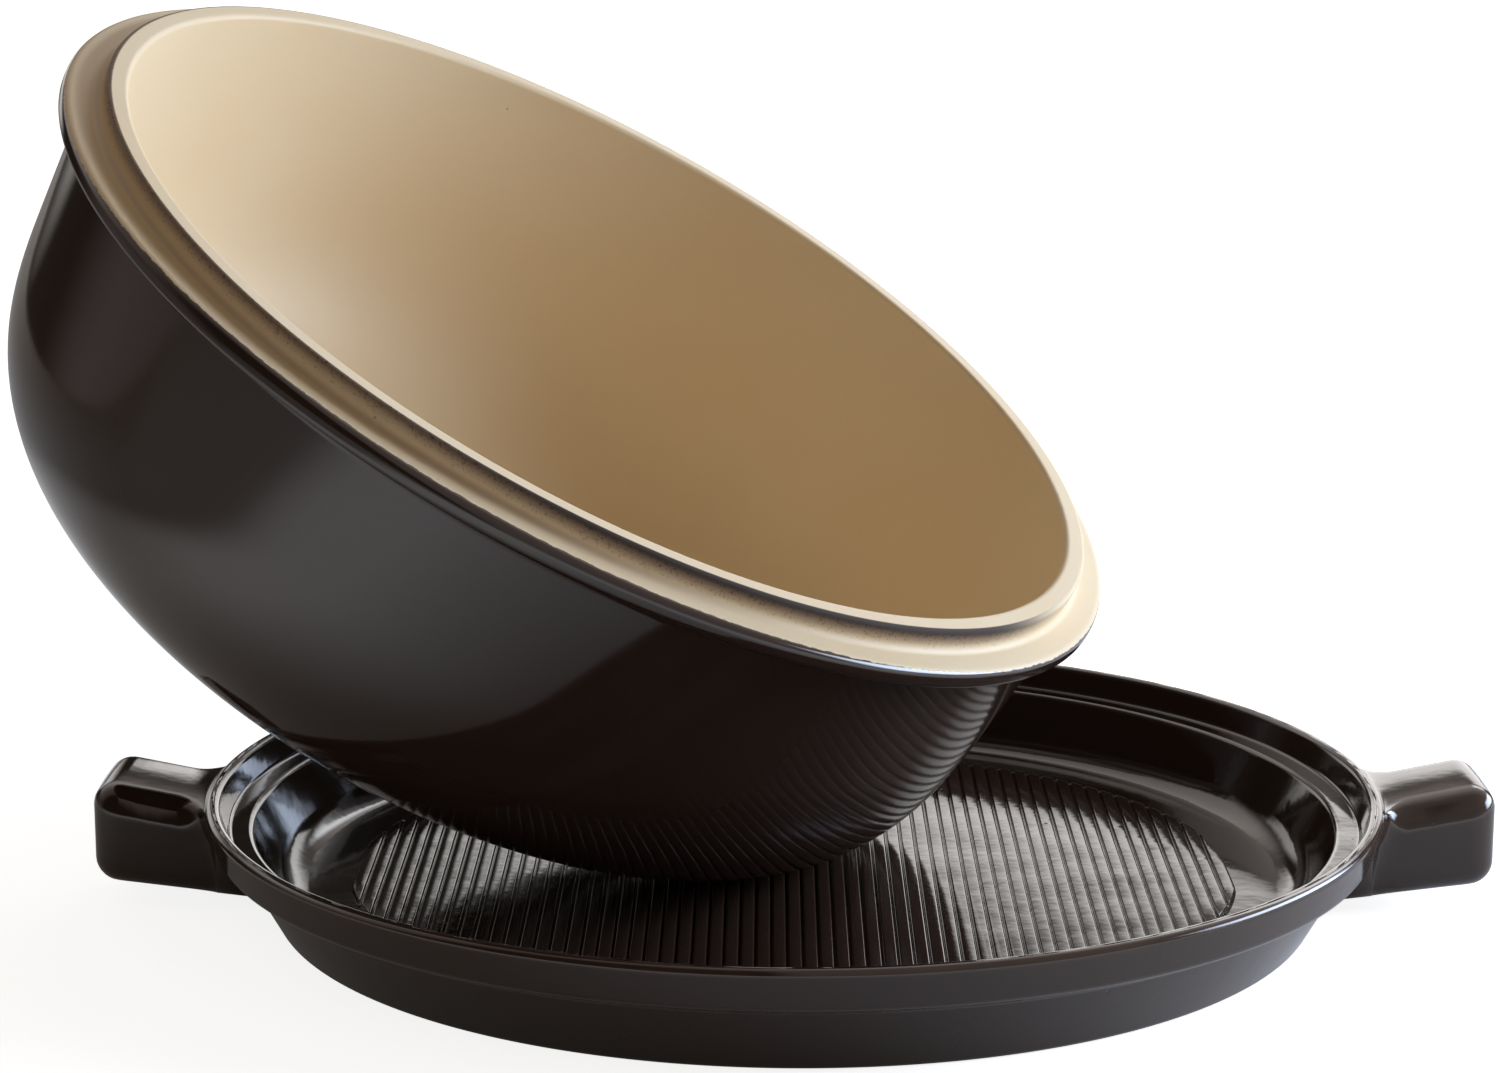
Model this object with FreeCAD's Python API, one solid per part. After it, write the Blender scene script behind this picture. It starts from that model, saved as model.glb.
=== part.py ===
import FreeCAD, Part
import math
import os

# Bread cloche: a round ribbed base with two tab handles, and a deep dome that lies
# in it mouth up, tipped over to the right. Millimetres, +Z up, handles along X.
# The origin is the centre of the base's flat underside.

V = FreeCAD.Vector
ORIGIN = V(0, 0, 0)
AXIS_Y = V(0, 1, 0)
AXIS_Z = V(0, 0, 1)

# Base, outside
base_height = 27.5
rim_outer_r = 142.2
rim_width = 3.6
rim_edge_r = 1.5
band_height = 9.6
band_draft = 2.6
band_edge_r = 2.4
crease_drop = 2.4
crease_inset = 5.8
crease_fillet_r = 2.2
foot_inset = 17.0
foot_edge_r = 2.0

# Base, tray
step_draft = 2.4
step_fillet_r = 1.1
ledge_width = 5.5
ledge_edge_r = 1.6
floor_z = 5.0
tray_slope_run = 7.7
gutter_fillet_r = 9.0

# Base, ribs on the tray floor, running front to back
rib_pitch = 3.6
rib_width = 2.7
rib_height = 1.4
rib_margin = 15.5
rib_end_run = 2.2
rib_sink = 0.6

# Base, tab handles, thicker at their outer ends
handle_length = 26.2
handle_width = 36.0
handle_top_z = 26.4
handle_under_z = 3.9
handle_top_rise_deg = 11.4
handle_under_rise_deg = 6.9
handle_corner_r = 7.0
handle_edge_r = 4.6
handle_blend_r = 1.5
handle_embed = 20.0

# Dome, mouth
flange_setback = 1.2
flange_thickness = 5.0
flange_edge_r = 2.0
neck_fillet_r = 3.0
lip_clearance = 3.5
lip_width = 5.5
lip_height = 5.6
lip_edge_r = 1.1
lip_fillet_r = 1.9
ledge_gap = 0.9

# Dome, shell
dome_depth = 119.8
dome_thickness = 8.2
wall_taper_deg = 3.8
shoulder_r = 47.5
crown_r = 241.5

# Dome at rest: tipped over, turned in plan, standing on the ribs
dome_tip_deg = 30.76
dome_turn_deg = -22.5
dome_x = -43.6
dome_y = 25.3
seat_clearance = 0.3

# Radii and heights that follow from the sizes above
rim_inner_r = rim_outer_r - rim_width
step_foot_r = rim_inner_r - step_draft
ledge_inner_r = step_foot_r - ledge_width
ledge_z = base_height - lip_height - ledge_gap
gutter_r = ledge_inner_r - tray_slope_run
rib_field_r = gutter_r - rib_margin
rib_top_z = floor_z + rib_height
band_foot_r = rim_outer_r - band_draft
band_foot_z = base_height - band_height
foot_r = rim_outer_r - foot_inset
lip_outer_r = step_foot_r - lip_clearance
lip_inner_r = lip_outer_r - lip_width
flange_r = rim_outer_r - flange_setback
taper = math.radians(wall_taper_deg)


def toward(start, end, length):
    """The point at a given length from start on the way to end."""
    step = end.sub(start)
    return start.add(step.multiply(length / step.Length))


def rounded_path(corners):
    """Edges through (r, z, rounding) corners in the XZ plane, each inner corner rounded."""
    points = [V(r, 0, z) for r, z, rounding in corners]
    edges = []
    last = points[0]
    for before, corner, after, spec in zip(points, points[1:], points[2:], corners[1:]):
        rounding = spec[2]
        if rounding == 0:
            edges.append(Part.makeLine(last, corner))
            last = corner
            continue
        half = before.sub(corner).getAngle(after.sub(corner)) / 2
        trim = rounding / math.tan(half)
        start = toward(corner, before, trim)
        end = toward(corner, after, trim)
        middle = toward(corner, start.add(end).multiply(0.5), rounding / math.sin(half) - rounding)
        edges.append(Part.makeLine(last, start))
        edges.append(Part.Arc(start, middle, end).toShape())
        last = end
    edges.append(Part.makeLine(last, points[-1]))
    return edges


def turned(edges):
    """Solid of revolution about Z from a closed run of edges in the XZ plane."""
    return Part.Face(Part.Wire(edges)).revolve(ORIGIN, AXIS_Z, 360)


def base_blank():
    """The base's outside as a full disc, before its tray is hollowed out."""
    return turned(rounded_path([
        (0, 0, 0),
        (foot_r, 0, foot_edge_r),
        (band_foot_r - crease_inset, band_foot_z - crease_drop, crease_fillet_r),
        (band_foot_r, band_foot_z, band_edge_r),
        (rim_outer_r, base_height, rim_edge_r),
        (0, base_height, 0),
        (0, 0, 0),
    ]))


def tray_hollow():
    """The space taken out of the blank: seat ledge, sloping wall, gutter and floor."""
    return turned(rounded_path([
        (0, floor_z, 0),
        (gutter_r, floor_z, gutter_fillet_r),
        (ledge_inner_r, ledge_z, ledge_edge_r),
        (step_foot_r, ledge_z, step_fillet_r),
        (rim_inner_r, base_height, 0),
        (0, base_height, 0),
        (0, floor_z, 0),
    ]))


def handle_block():
    """One tab handle with rounded edges, rising outward on the +X side."""
    root = rim_outer_r - handle_embed
    end = rim_outer_r + handle_length
    top_slope = math.tan(math.radians(handle_top_rise_deg))
    under_slope = math.tan(math.radians(handle_under_rise_deg))
    front = -handle_width / 2
    root_under = V(root, front, handle_under_z - handle_embed * under_slope)
    root_top = V(root, front, handle_top_z - handle_embed * top_slope)
    end_under = V(end, front, handle_under_z + handle_length * under_slope)
    end_top = V(end, front, handle_top_z + handle_length * top_slope)
    side = Part.makePolygon([root_under, end_under, end_top, root_top, root_under])
    block = Part.Face(side).extrude(V(0, handle_width, 0))
    upright = [e for e in block.Edges if e.BoundBox.XMin > rim_outer_r and e.BoundBox.ZLength > handle_corner_r]
    block = block.makeFillet(handle_corner_r, upright)
    broad = [f for f in block.Faces if abs(f.normalAt(0, 0).z) > 0.5]
    border = [e for f in broad for e in f.Edges if e.BoundBox.XMax > rim_outer_r]
    return block.makeFillet(handle_edge_r, border)


def ribs():
    """The ridges on the tray floor, as one compound trimmed to a round field."""
    half = rib_width / 2
    left = V(-half, 0, floor_z)
    right = V(half, 0, floor_z)
    sunk = V(0, 0, -rib_sink)
    outline = Part.Wire([
        Part.Arc(left, V(0, 0, rib_top_z), right).toShape(),
        Part.makeLine(right, right.add(sunk)),
        Part.makeLine(right.add(sunk), left.add(sunk)),
        Part.makeLine(left.add(sunk), left),
    ])
    bar = Part.Face(outline).extrude(V(0, 2 * rib_field_r, 0))
    bar.translate(V(0, -rib_field_r, 0))
    count = int((rib_field_r - rib_width) / rib_pitch)
    bars = []
    for i in range(-count, count + 1):
        placed = bar.copy()
        placed.translate(V(i * rib_pitch, 0, 0))
        bars.append(placed)
    field = turned(rounded_path([
        (0, floor_z - rib_sink, 0),
        (rib_field_r, floor_z - rib_sink, 0),
        (rib_field_r, floor_z, 0),
        (rib_field_r - rib_end_run, rib_top_z, 0),
        (0, rib_top_z, 0),
        (0, floor_z - rib_sink, 0),
    ]))
    return Part.makeCompound(bars).common(field)


def base():
    """The whole base: blank, handles blended in, tray, ribs."""
    first = handle_block()
    second = first.copy()
    second.rotate(ORIGIN, AXIS_Z, 180)
    body = base_blank()
    whole = body.multiFuse([first, second])
    seams = [e for e in whole.Edges if on_both(e, body, first) or on_both(e, body, second)]
    whole = whole.makeFillet(handle_blend_r, seams)
    whole = whole.cut(tray_hollow())
    mouth = [e for e in whole.Edges if is_circle(e, rim_inner_r, base_height)]
    whole = whole.makeFillet(rim_edge_r, mouth)
    return whole.multiFuse(ribs().Solids)


def is_circle(edge, radius, height):
    """True for a level circle, about Z, of this radius at this height."""
    near = 0.001
    if edge.Degenerated or not isinstance(edge.Curve, Part.Circle):
        return False
    return abs(edge.Curve.Radius - radius) < near and abs(edge.Curve.Center.z - height) < near


def on_both(edge, one, other):
    """True where an edge lies on the skins of both shapes."""
    middle = Part.Vertex(edge.valueAt((edge.FirstParameter + edge.LastParameter) / 2))
    near = 0.001
    return all(s.distToShape(middle)[0] < near for shape in (one, other) for s in shape.Shells)


def shell_centres():
    """Centre of the shoulder's arc, and height of the crown arc's centre on the axis.

    Heights are from the lip's top, with the crown below it.
    """
    crown_z = crown_r - dome_depth
    start_r = lip_inner_r + (dome_thickness - shoulder_r) * math.cos(taper)
    start_z = (shoulder_r - dome_thickness) * math.sin(taper)
    rise = start_z - crown_z
    along = start_r * math.sin(taper) + rise * math.cos(taper)
    gap = crown_r - shoulder_r
    wall = along + math.sqrt(along ** 2 - start_r ** 2 - rise ** 2 + gap ** 2)
    return start_r - wall * math.sin(taper), start_z - wall * math.cos(taper), crown_z


def polar(r, z, radius, angle):
    """Point at a radius from (r, z), the angle counted from straight down."""
    return V(r + radius * math.sin(angle), 0, z - radius * math.cos(angle))


def shell_arcs(inset):
    """Shoulder and crown arcs of the dome's outside, moved in by the inset."""
    r, z, crown_z = shell_centres()
    top = math.pi / 2 - taper
    join = math.atan2(r, crown_z - z)
    round_r = shoulder_r - inset
    big_r = crown_r - inset
    shoulder = [polar(r, z, round_r, a) for a in (top, (top + join) / 2, join)]
    crown = [polar(0, crown_z, big_r, a) for a in (join, join / 2, 0)]
    return shoulder, crown


def dome():
    """The dome with its mouth level and up, the middle of the lip's top at the origin."""
    shoulder_out, crown_out = shell_arcs(0)
    shoulder_in, crown_in = shell_arcs(dome_thickness)
    under_z = -lip_height - flange_thickness
    outer_r = shoulder_out[0].x + (under_z - shoulder_out[0].z) * math.tan(taper)
    mouth = rounded_path([
        (shoulder_in[0].x, shoulder_in[0].z, 0),
        (lip_inner_r, 0, lip_edge_r),
        (lip_outer_r, 0, lip_edge_r),
        (lip_outer_r, -lip_height, lip_fillet_r),
        (flange_r, -lip_height, flange_edge_r),
        (flange_r, under_z, flange_edge_r),
        (outer_r, under_z, neck_fillet_r),
        (shoulder_out[0].x, shoulder_out[0].z, 0),
    ])
    shell = [Part.Arc(*points).toShape() for points in (shoulder_out, crown_out, shoulder_in, crown_in)]
    spine = Part.makeLine(crown_out[2], crown_in[2])
    return turned(Part.__sortEdges__(mouth + shell + [spine]))


def dome_drop():
    """How far the tipped dome reaches down from the middle of the lip's top."""
    tip = math.radians(dome_tip_deg)
    r, z, crown_z = shell_centres()
    if tip > math.atan2(r, crown_z - z):
        return r * math.sin(tip) - z * math.cos(tip) + shoulder_r
    return crown_r - crown_z * math.cos(tip)


def dome_at_rest():
    """The dome tipped over to the right and standing on the ribs."""
    shape = dome()
    shape.rotate(ORIGIN, AXIS_Y, dome_tip_deg)
    shape.rotate(ORIGIN, AXIS_Z, dome_turn_deg)
    shape.translate(V(dome_x, dome_y, rib_top_z + seat_clearance + dome_drop()))
    return shape


os.makedirs("parts", exist_ok=True)
base().exportStep("parts/base.step")
dome_at_rest().exportStep("parts/dome.step")
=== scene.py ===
"""A glazed ceramic bread cloche: a round ribbed base with two tab handles, and a deep dome that lies in it.

The dome lies mouth up, tipped over to the right. Sizes of the two pieces are millimetres and angles are
degrees; each mesh is scaled to metres when it is finished. Places in the finishes and the studio are metres.
"""

import logging
import math
from dataclasses import dataclass, field
from enum import Enum
from functools import cached_property

import bmesh
import bpy
from bmesh.types import BMEdge, BMesh, BMVert
from bpy.types import Light, Material, Node, NodeSocket, NodeTree, Object
from mathutils import Matrix, Vector

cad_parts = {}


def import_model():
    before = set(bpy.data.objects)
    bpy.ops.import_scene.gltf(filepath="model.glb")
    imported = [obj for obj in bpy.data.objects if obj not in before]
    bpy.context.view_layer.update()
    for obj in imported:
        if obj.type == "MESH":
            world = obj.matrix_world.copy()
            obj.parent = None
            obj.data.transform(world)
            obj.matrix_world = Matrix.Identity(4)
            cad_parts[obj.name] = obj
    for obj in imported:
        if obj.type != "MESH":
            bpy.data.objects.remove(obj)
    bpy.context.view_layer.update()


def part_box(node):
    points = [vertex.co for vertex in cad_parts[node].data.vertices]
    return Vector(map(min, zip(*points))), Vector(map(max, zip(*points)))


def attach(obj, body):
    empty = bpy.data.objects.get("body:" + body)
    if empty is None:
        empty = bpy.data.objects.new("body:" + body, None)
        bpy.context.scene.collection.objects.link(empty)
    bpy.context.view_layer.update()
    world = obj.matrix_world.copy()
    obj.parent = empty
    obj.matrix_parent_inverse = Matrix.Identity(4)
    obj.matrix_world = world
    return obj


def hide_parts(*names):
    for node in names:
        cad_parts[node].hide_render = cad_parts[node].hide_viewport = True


LOG = logging.getLogger("cloche")
MM = 0.001
SAME_POINT = 1e-6
WELD = 1e-4
PLACE_DIGITS = 5
QUARTER_TURN = math.pi / 2
WHITE = (1.0, 1.0, 1.0)
# Values that each vertex carries for its finish
STATION = "station"
THIN = "thin"

Colour = tuple[float, float, float]
Span = tuple[float, float]
SectionPoint = tuple[float, float, float, float]


def eased(share: float) -> float:
    """A share from 0 to 1 that eases in and out."""
    return share * share * (3 - 2 * share)


# Outlines and turned meshes


@dataclass(frozen=True)
class Corner:
    """A corner of a turned outline.

    Attributes:
        r: Distance from the axis.
        z: Height.
        rounding: Radius of the rounding at the corner.
        thin: How thin the glaze lies over the rounding, from 0 to 1.
        mark: Name under which the outline keeps the length at the corner.
    """

    r: float
    z: float
    rounding: float = 0.0
    thin: float = 0.0
    mark: str = ""


@dataclass
class Outline:
    """Half a section, from the axis round to the axis again, as points with a running length."""

    hold: float = 0.35
    points: list[tuple[float, float, float]] = field(default_factory=list)
    marks: dict[str, float] = field(default_factory=dict)
    length: float = 0.0
    lengths: list[float] = field(default_factory=list)

    def add(self, r: float, z: float, thin: float = 0.0) -> None:
        """Appends a point, unless it repeats the last one.

        Args:
            r: Distance from the axis.
            z: Height.
            thin: How thin the glaze lies there.
        """
        if self.points:
            step = math.hypot(r - self.points[-1][0], z - self.points[-1][1])
            if step < SAME_POINT:
                return
            self.length += step
        self.points.append((r, z, thin))
        self.lengths.append(self.length)

    def mark(self, name: str) -> None:
        """Keeps the running length at the last point under a name."""
        self.marks[name] = self.length

    def round_off(self, corners: list[Corner], parts: int = 8) -> None:
        """Goes on through rounded corners, with a point close beside each rounding to hold its shading.

        Args:
            corners: The corners after the present point; the last one is the end.
            parts: Number of parts in each rounding.
        """
        before = Vector(self.points[-1][:2])
        for corner, after in zip(corners, corners[1:]):
            here = Vector((corner.r, corner.z))
            away = (before - here).normalized()
            onward = (Vector((after.r, after.z)) - here).normalized()
            half = away.angle(onward) / 2
            trim = corner.rounding / math.tan(half)
            bisector = (away + onward).normalized()
            centre = here + bisector * (corner.rounding / math.sin(half))
            self.add(*(here + away * (trim + self.hold)))
            first = here + away * trim - centre
            last = here + onward * trim - centre
            for i in range(parts + 1):
                self.add(*(centre + first.slerp(last, i / parts) * corner.rounding), corner.thin)
                if corner.mark and i == parts // 2:
                    self.mark(corner.mark)
            self.add(*(here + onward * (trim + self.hold)))
            before = here
        self.add(corners[-1].r, corners[-1].z)


def extruded(bm: BMesh, edges: list[BMEdge]) -> tuple[list[BMVert], list[BMEdge]]:
    """Draws out a run of edges, for its copy to be moved.

    Args:
        bm: The mesh.
        edges: The edges.

    Returns:
        The copy's vertices and edges.
    """
    made = bmesh.ops.extrude_edge_only(bm, edges=edges)["geom"]
    return [g for g in made if isinstance(g, BMVert)], [g for g in made if isinstance(g, BMEdge)]


def turned(outline: Outline, steps: int) -> BMesh:
    """Turns an outline about Z.

    Args:
        outline: The half section, in millimetres.
        steps: Number of steps round the axis.

    Returns:
        A closed mesh that carries the outline's length and the glaze's thinness.
    """
    bm = bmesh.new()
    station = bm.verts.layers.float.new(STATION)
    thin = bm.verts.layers.float.new(THIN)
    verts = []
    for (r, z, thinness), length in zip(outline.points, outline.lengths):
        vert = bm.verts.new((r, 0.0, z))
        vert[station] = length
        vert[thin] = thinness
        verts.append(vert)
    edges = [bm.edges.new(pair) for pair in zip(verts, verts[1:])]
    bmesh.ops.spin(bm, geom=verts + edges, cent=(0, 0, 0), axis=(0, 0, 1), angle=math.tau, steps=steps,
                   use_merge=True)
    bmesh.ops.remove_doubles(bm, verts=bm.verts[:], dist=WELD)
    bmesh.ops.recalc_face_normals(bm, faces=bm.faces[:])
    return bm


def finished(name: str, meshes: list[BMesh], material: Material) -> Object:
    """Joins meshes made in millimetres into one smooth object in metres, at the origin.

    Args:
        name: The object's name.
        meshes: The meshes, which are freed.
        material: Its finish.

    Returns:
        The new object, linked to the scene.
    """
    data = bpy.data.meshes.new(name)
    whole = bmesh.new()
    for bm in meshes:
        part = bpy.data.meshes.new("part")
        bm.to_mesh(part)
        bm.free()
        whole.from_mesh(part)
        bpy.data.meshes.remove(part)
    bmesh.ops.scale(whole, vec=(MM, MM, MM), verts=whole.verts[:])
    for face in whole.faces:
        face.smooth = True
    whole.to_mesh(data)
    whole.free()
    data.materials.append(material)
    piece = bpy.data.objects.new(name, data)
    bpy.context.scene.collection.objects.link(piece)
    return piece


# Shader nodes


class Tree:
    """A node tree with short ways to add and join nodes."""

    def __init__(self, tree: NodeTree) -> None:
        """Takes over a tree and empties it."""
        self.tree = tree
        self.tree.nodes.clear()

    def add(self, kind: str, **values: object) -> Node:
        """Adds a node.

        Args:
            kind: The node's type name, without its ShaderNode prefix where that applies.
            values: Properties to set on it.

        Returns:
            The node.
        """
        node = self.tree.nodes.new(kind if kind.startswith("Node") else "ShaderNode" + kind)
        for name, value in values.items():
            setattr(node, name, value)
        return node

    def feed(self, node: Node, **inputs: object) -> Node:
        """Joins sockets to a node's inputs, or sets them to plain values.

        Args:
            node: The node.
            inputs: What each input gets, by its name with underscores for spaces, or by i and its number.

        Returns:
            The same node.
        """
        for name, value in inputs.items():
            numbered = name[0] == "i" and name[1:].isdigit()
            socket = node.inputs[int(name[1:]) if numbered else name.replace("_", " ")]
            if isinstance(value, NodeSocket):
                self.tree.links.new(value, socket)
            else:
                socket.default_value = value
        return node

    def maths(self, operation: str, first: object, second: object = 0.0) -> NodeSocket:
        """One Math node.

        Args:
            operation: What it does.
            first: Its first value or socket.
            second: Its second value or socket.

        Returns:
            Its result.
        """
        return self.feed(self.add("Math", operation=operation), i0=first, i1=second).outputs[0]

    def times(self, first: object, second: object) -> NodeSocket:
        """One value or socket times another."""
        return self.maths("MULTIPLY", first, second)

    def ramp(self, value: object, low: object, high: object, smooth: bool = True) -> NodeSocket:
        """Maps a value to 0 at low and 1 at high.

        Args:
            value: The socket to map.
            low: Where the result is 0.
            high: Where the result is 1.
            smooth: Whether it eases in and out.

        Returns:
            The result.
        """
        node = self.add("MapRange", interpolation_type="SMOOTHSTEP" if smooth else "LINEAR", clamp=True)
        return self.feed(node, Value=value, From_Min=low, From_Max=high).outputs[0]

    def blend(self, share: object, first: object, second: object) -> NodeSocket:
        """Mixes two colours by a share.

        Args:
            share: Share of the second colour.
            first: Colour or socket.
            second: Colour or socket.

        Returns:
            The mixed colour.
        """
        node = self.add("Mix", data_type="RGBA")
        first = first if isinstance(first, NodeSocket) else (*first, 1.0)
        second = second if isinstance(second, NodeSocket) else (*second, 1.0)
        return self.feed(node, i0=share, i6=first, i7=second).outputs[2]

    def between(self, share: object, first: object, second: object) -> NodeSocket:
        """Mixes two numbers by a share.

        Args:
            share: Share of the second number.
            first: Number or socket.
            second: Number or socket.

        Returns:
            The mixed number.
        """
        return self.feed(self.add("Mix", data_type="FLOAT"), i0=share, i2=first, i3=second).outputs[0]

    def noise(self, vector: NodeSocket, scale: object, detail: float) -> NodeSocket:
        """Soft noise, about 0.5 on average.

        Args:
            vector: Where it is read.
            scale: Waves per metre.
            detail: Number of finer waves.

        Returns:
            Its value.
        """
        return self.feed(self.add("TexNoise"), Vector=vector, Scale=scale, Detail=detail).outputs[0]

    def attribute(self, name: str) -> NodeSocket:
        """A value that the mesh's vertices carry."""
        return self.add("Attribute", attribute_name=name).outputs["Fac"]

    def glazed(self, colour: NodeSocket, rough: NodeSocket, height: NodeSocket, refraction: float) -> None:
        """Ends the tree in a glazed surface.

        Args:
            colour: The glaze's colour.
            rough: Its roughness.
            height: Its relief, in metres.
            refraction: Its index of refraction.
        """
        bump = self.feed(self.add("Bump"), Strength=1.0, Distance=1.0, Height=height)
        shader = self.feed(self.add("BsdfPrincipled"), Base_Color=colour, Roughness=rough,
                           Normal=bump.outputs[0], IOR=refraction)
        self.feed(self.add("OutputMaterial"), Surface=shader.outputs[0])


def node_material(name: str) -> tuple[Material, Tree]:
    """Makes a material.

    Args:
        name: Its name.

    Returns:
        The material and its empty tree.
    """
    material = bpy.data.materials.new(name)
    material.use_nodes = True
    return material, Tree(material.node_tree)


class GroupKind(Enum):
    """The shared effects."""

    RELIEF = "glaze_relief"
    THINNING = "glaze_thinning"
    SPECKS = "glaze_specks"


class EffectGroups:
    """Builds each shared effect once, as a node group."""

    patchy_span: Span = (0.35, 0.7)

    def __init__(self) -> None:
        """Builds all of them."""
        self.groups = {
            GroupKind.RELIEF: self.relief(),
            GroupKind.THINNING: self.thinning(),
            GroupKind.SPECKS: self.specks(),
        }

    @staticmethod
    def start(
        kind: GroupKind, inputs: dict[str, float], outputs: list[str],
    ) -> tuple[NodeTree, Tree, Node, Node]:
        """Makes a group with a Vector input, number inputs and number outputs.

        Args:
            kind: Which effect it is.
            inputs: Names of the numbers it takes, with their usual values.
            outputs: Names of the numbers it gives.

        Returns:
            The group, its tree helper, its input node and its output node.
        """
        group = bpy.data.node_groups.new(kind.value, "ShaderNodeTree")
        group.interface.new_socket("Vector", in_out="INPUT", socket_type="NodeSocketVector")
        for name, value in inputs.items():
            socket = group.interface.new_socket(name, in_out="INPUT", socket_type="NodeSocketFloat")
            socket.default_value = value
        for name in outputs:
            group.interface.new_socket(name, in_out="OUTPUT", socket_type="NodeSocketFloat")
        tree = Tree(group)
        return group, tree, tree.add("NodeGroupInput"), tree.add("NodeGroupOutput")

    def relief(self) -> NodeTree:
        """Slow ripples, swells, a fine orange peel and scattered pin holes, as a height in metres.

        Returns:
            The group.
        """
        group, tree, given, out = self.start(
            GroupKind.RELIEF,
            {
                "Ripple Waves": 40.0, "Ripple Depth": 1e-4,
                "Swell Waves": 240.0, "Swell Depth": 0.0,
                "Peel Waves": 900.0, "Peel Depth": 4e-6,
                "Pit Cells": 60.0, "Pit Radius": 0.04, "Pit Share": 0.1, "Pit Depth": 1e-4,
            },
            ["Height", "Pits"],
        )
        takes = given.outputs
        where = takes["Vector"]
        height: object = 0.0
        for wave in ("Ripple", "Swell", "Peel"):
            level = tree.noise(where, takes[wave + " Waves"], detail=1.0)
            height = tree.maths("ADD", height, tree.times(level, takes[wave + " Depth"]))
        cells = tree.feed(tree.add("TexVoronoi"), Vector=where, Scale=takes["Pit Cells"])
        inside = tree.ramp(cells.outputs["Distance"], takes["Pit Radius"], 0.0)
        lot = tree.feed(tree.add("SeparateColor"), Color=cells.outputs["Color"]).outputs[0]
        pits = tree.times(inside, tree.maths("LESS_THAN", lot, takes["Pit Share"]))
        height = tree.maths("SUBTRACT", height, tree.times(pits, takes["Pit Depth"]))
        tree.feed(out, Height=height, Pits=pits)
        return group

    def thinning(self) -> NodeTree:
        """Uneven share of thin glaze along proud edges.

        Returns:
            The group.
        """
        group, tree, given, out = self.start(
            GroupKind.THINNING, {"Thin": 0.0, "Amount": 0.5, "Waves": 60.0}, ["Mask"])
        takes = given.outputs
        patchy = tree.ramp(tree.noise(takes["Vector"], takes["Waves"], detail=4.0), *self.patchy_span)
        share = tree.times(patchy, takes["Amount"])
        tree.feed(out, Mask=tree.times(takes["Thin"], share))
        return group

    def specks(self) -> NodeTree:
        """Small scattered specks, denser where the density is high.

        Returns:
            The group.
        """
        group, tree, given, out = self.start(
            GroupKind.SPECKS, {"Waves": 900.0, "Density": 0.2, "Softness": 0.1}, ["Mask"])
        takes = given.outputs
        grain = tree.noise(takes["Vector"], takes["Waves"], detail=3.0)
        edge = tree.maths("SUBTRACT", 1.0, takes["Density"])
        tree.feed(out, Mask=tree.ramp(grain, edge, tree.maths("ADD", edge, takes["Softness"])))
        return group

    def place(self, tree: Tree, kind: GroupKind, vector: NodeSocket, **values: object) -> Node:
        """Places an effect in a material.

        Args:
            tree: The material's tree.
            kind: Which effect.
            vector: Where it is read.
            values: Its numbers, with spaces in their names written as underscores.

        Returns:
            The group's node.
        """
        node = tree.add("Group", node_tree=self.groups[kind])
        return tree.feed(node, Vector=vector, **values)


# Finishes


@dataclass(frozen=True)
class DarkGlaze:
    """Very dark brown gloss glaze over the whole of the base."""

    deep: Colour = (0.038, 0.022, 0.0155)
    thin: Colour = (0.085, 0.048, 0.030)
    thin_share: float = 0.35
    gloss: float = 0.07
    worn_gloss: float = 0.16
    cloud_waves: float = 30.0
    cloud_span: Span = (0.3, 0.8)
    cloud_gloss: float = 0.03
    refraction: float = 1.55

    def material(self, effects: EffectGroups) -> Material:
        """Builds the finish.

        Args:
            effects: The shared effects.

        Returns:
            The material.
        """
        material, tree = node_material("dark_glaze")
        where = tree.add("TexCoord").outputs["Object"]
        relief = effects.place(
            tree, GroupKind.RELIEF, where, Ripple_Waves=45.0, Ripple_Depth=1.6e-4,
            Swell_Waves=240.0, Swell_Depth=3e-5, Pit_Cells=70.0, Pit_Radius=0.04, Pit_Share=0.9)
        thinning = effects.place(
            tree, GroupKind.THINNING, where, Thin=tree.attribute(THIN), Amount=self.thin_share)
        worn = thinning.outputs["Mask"]
        colour = tree.blend(worn, self.deep, self.thin)
        cloudy = tree.ramp(tree.noise(where, self.cloud_waves, detail=3.0), *self.cloud_span)
        rough = tree.maths("ADD", self.gloss, tree.times(cloudy, self.cloud_gloss))
        rough = tree.maths("ADD", rough, tree.times(worn, self.worn_gloss))
        tree.glazed(colour, rough, relief.outputs["Height"], self.refraction)
        return material


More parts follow.
